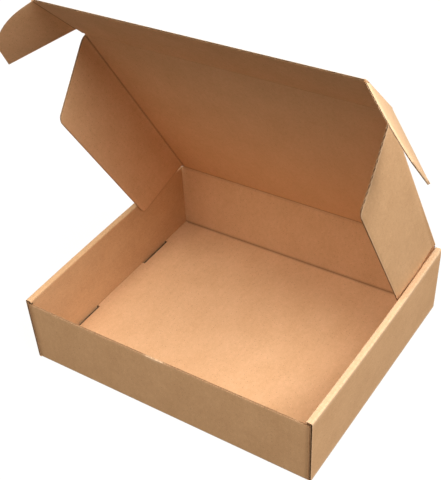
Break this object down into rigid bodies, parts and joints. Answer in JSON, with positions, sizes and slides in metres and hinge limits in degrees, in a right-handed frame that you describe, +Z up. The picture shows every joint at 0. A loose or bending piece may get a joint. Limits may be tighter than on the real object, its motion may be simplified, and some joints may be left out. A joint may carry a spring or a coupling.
{
  "type": "mailer box",
  "caption": "Flat kraft corrugated mailer box with roll-over side walls, a hinged lid standing open, side dust flaps and a tuck flap with ears, for posting goods.",
  "frame": {"origin": "middle of the tray's underside", "axes": "+X to the box's right seen from its front, +Y from the front wall to the back wall with the lid's crease, +Z up"},
  "size_m": [0.4462, 0.292, 0.3891],
  "materials": {
    "kraft_board": "matte brown kraft liner with fine fibres and specks"
  },
  "bodies": {
    "tray": {"tray": "kraft_board"},
    "lid": {"lid_panel": "kraft_board"},
    "left_dust_flap": {"left_dust_flap": "kraft_board"},
    "right_dust_flap": {"right_dust_flap": "kraft_board"},
    "tuck_flap": {"tuck_flap": "kraft_board"},
    "left_ear": {"left_ear": "kraft_board"},
    "right_ear": {"right_ear": "kraft_board"}
  },
  "joints": [
    {"name": "lid_crease", "type": "hinge", "parent": "tray", "child": "lid", "pos_m": [0, 0.1448, 0.089], "axis": [-1, 0, 0], "range_deg": [-59, 121]},
    {"name": "left_dust_flap_crease", "type": "hinge", "parent": "lid", "child": "left_dust_flap", "pos_m": [-0.1621, 0.07131, 0.20899], "axis": [0, 0.515, -0.8572], "range_deg": [-66.5, 0]},
    {"name": "right_dust_flap_crease", "type": "hinge", "parent": "lid", "child": "right_dust_flap", "pos_m": [0.1621, 0.07131, 0.20899], "axis": [0, -0.515, 0.8572], "range_deg": [-66.5, 0]},
    {"name": "tuck_crease", "type": "hinge", "parent": "lid", "child": "tuck_flap", "pos_m": [0, -0.00013, 0.33021], "axis": [-1, 0, 0], "range_deg": [-80, 15]},
    {"name": "left_ear_crease", "type": "hinge", "parent": "tuck_flap", "child": "left_ear", "pos_m": [-0.166, -0.0325, 0.36147], "axis": [0, 0.7193, -0.6947], "range_deg": [-47, 43]},
    {"name": "right_ear_crease", "type": "hinge", "parent": "tuck_flap", "child": "right_ear", "pos_m": [0.166, -0.0325, 0.36147], "axis": [0, -0.7193, 0.6947], "range_deg": [-47, 43]}
  ]
}
